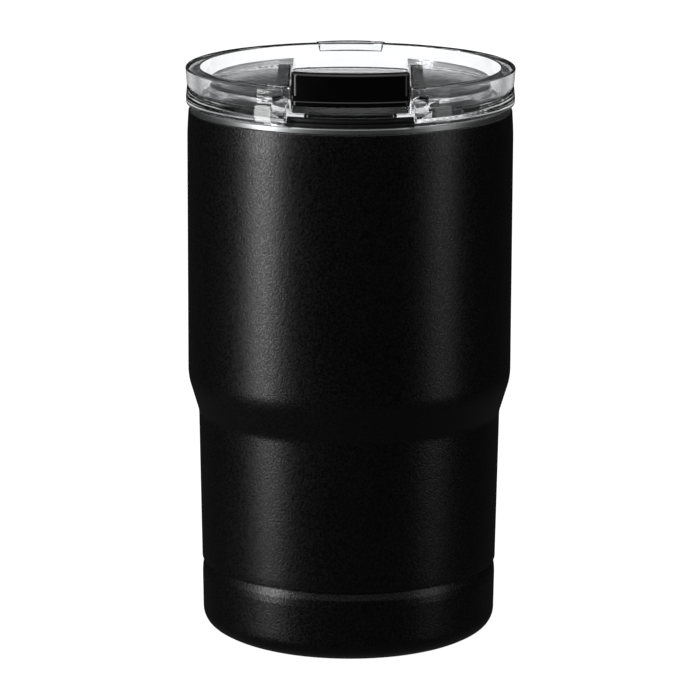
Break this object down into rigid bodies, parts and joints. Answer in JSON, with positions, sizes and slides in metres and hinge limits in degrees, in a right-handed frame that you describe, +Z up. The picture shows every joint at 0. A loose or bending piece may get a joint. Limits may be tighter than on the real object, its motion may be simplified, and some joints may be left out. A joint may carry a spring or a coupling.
{
  "type": "insulated tumbler with lid",
  "caption": "Double-walled steel tumbler with a stepped body, a clear push-in lid and a black flip-up drinking tab.",
  "frame": {"origin": "on the cup's axis, in the plane of the foot that it stands on", "axes": "+Z up along the cup's axis, -Y to the drinking side with the flip tab, +X to the right as one faces the tab"},
  "size_m": [0.0828, 0.0884, 0.1494],
  "materials": {
    "powder_coat": "satin black powder coat with a fine grain",
    "bare_steel": "satin stainless steel, turned along the circumference",
    "clear_plastic": "clear moulded copolyester, polished",
    "black_plastic": "black moulded plastic, semi-gloss",
    "black_silicone": "black silicone rubber, matte",
    "copper_foil": "thin copper foil, bright",
    "getter_metal": "dull grey sintered metal",
    "solder_glass": "fused glass bead"
  },
  "bodies": {
    "cup": {"outer_shell": "powder_coat", "base_cup": "powder_coat", "end_disc": "bare_steel", "vacuum_seal": "solder_glass", "inner_liner": "bare_steel", "radiation_foil": "copper_foil", "getter": "getter_metal"},
    "lid": {"lid": "clear_plastic", "lid_gasket": "black_silicone"},
    "flip": {"flip_tab": "black_plastic", "flip_seal": "black_silicone"}
  },
  "joints": [
    {"name": "lid_lift", "type": "slide", "parent": "cup", "child": "lid", "axis": [0, 0, 1], "range_m": [0, 0.025]},
    {"name": "flip_hinge", "type": "hinge", "parent": "lid", "child": "flip", "pos_m": [0, -0.01, 0.1417], "axis": [-1, 0, 0], "range_deg": [0, 150]}
  ]
}
